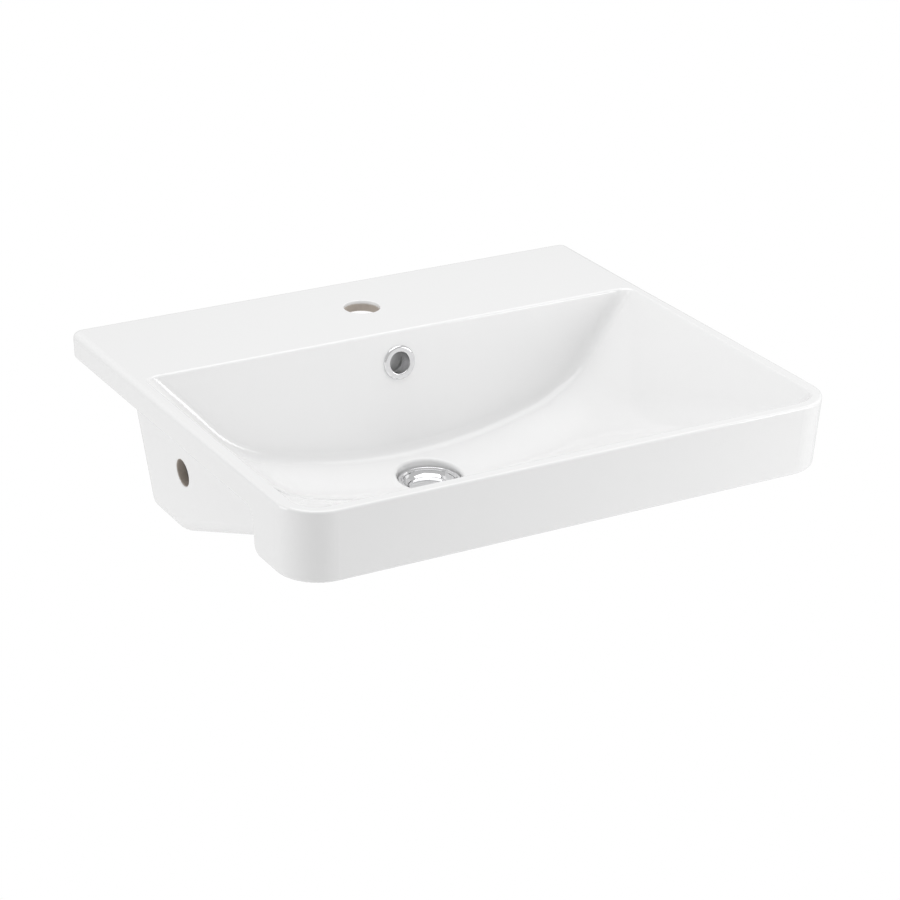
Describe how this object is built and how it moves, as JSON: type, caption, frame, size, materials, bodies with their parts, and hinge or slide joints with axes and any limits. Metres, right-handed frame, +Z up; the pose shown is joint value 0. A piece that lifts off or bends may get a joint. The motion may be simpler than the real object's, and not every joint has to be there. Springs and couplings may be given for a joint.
{
  "type": "semi recessed wash basin",
  "caption": "Semi recessed wash basin in white glazed china with a deep trough bowl, front apron, tap hole, overflow ring and click waste with domed plug.",
  "frame": {"origin": "on the worktop plane under the tap deck, at the middle of the basin's width, in the strip that rests on the worktop, 8 mm in front of the rear edge", "axes": "+X to the right as seen from the front, +Y to the wall, +Z up; X = 0 is the plane of symmetry"},
  "size_m": [0.5498, 0.4699, 0.1995],
  "materials": {
    "china": "gloss glaze, bare clay under the outlet boss and inside the holes",
    "chromed_brass": "bright chrome plate",
    "brass": "turned, unplated",
    "black_rubber": "matt moulded",
    "white_plastic": "moulded acetal",
    "spring_steel": "drawn stainless wire"
  },
  "bodies": {
    "basin": {"basin_body": "china", "overflow_ring": "chromed_brass", "overflow_grip": "black_rubber", "waste_body": "chromed_brass", "waste_gasket": "black_rubber", "outlet_washer": "black_rubber", "slip_washer": "white_plastic", "back_nut": "brass", "cartridge_housing": "brass", "guide_bush": "brass", "cam_ring": "white_plastic", "plunger_spring": "spring_steel", "cartridge_nut": "brass"},
    "plug": {"plug_cap": "chromed_brass", "plug_seal": "black_rubber", "plug_stem": "brass", "stem_locknut": "brass"},
    "rotor": {"latch_rotor": "white_plastic"}
  },
  "joints": [
    {"name": "plug_lift", "type": "slide", "parent": "basin", "child": "plug", "axis": [0, 0, 1], "range_m": [0, 0.008], "deforming": ["plunger_spring"]},
    {"name": "rotor_turn", "type": "hinge", "parent": "plug", "child": "rotor", "pos_m": [0, -0.201, -0.1308], "axis": [0, 0, 1], "range_deg": [0, 45]}
  ],
  "couplings": [
    {"joint": "rotor_turn", "follows": "plug_lift", "rad_per_m": 98.175}
  ]
}
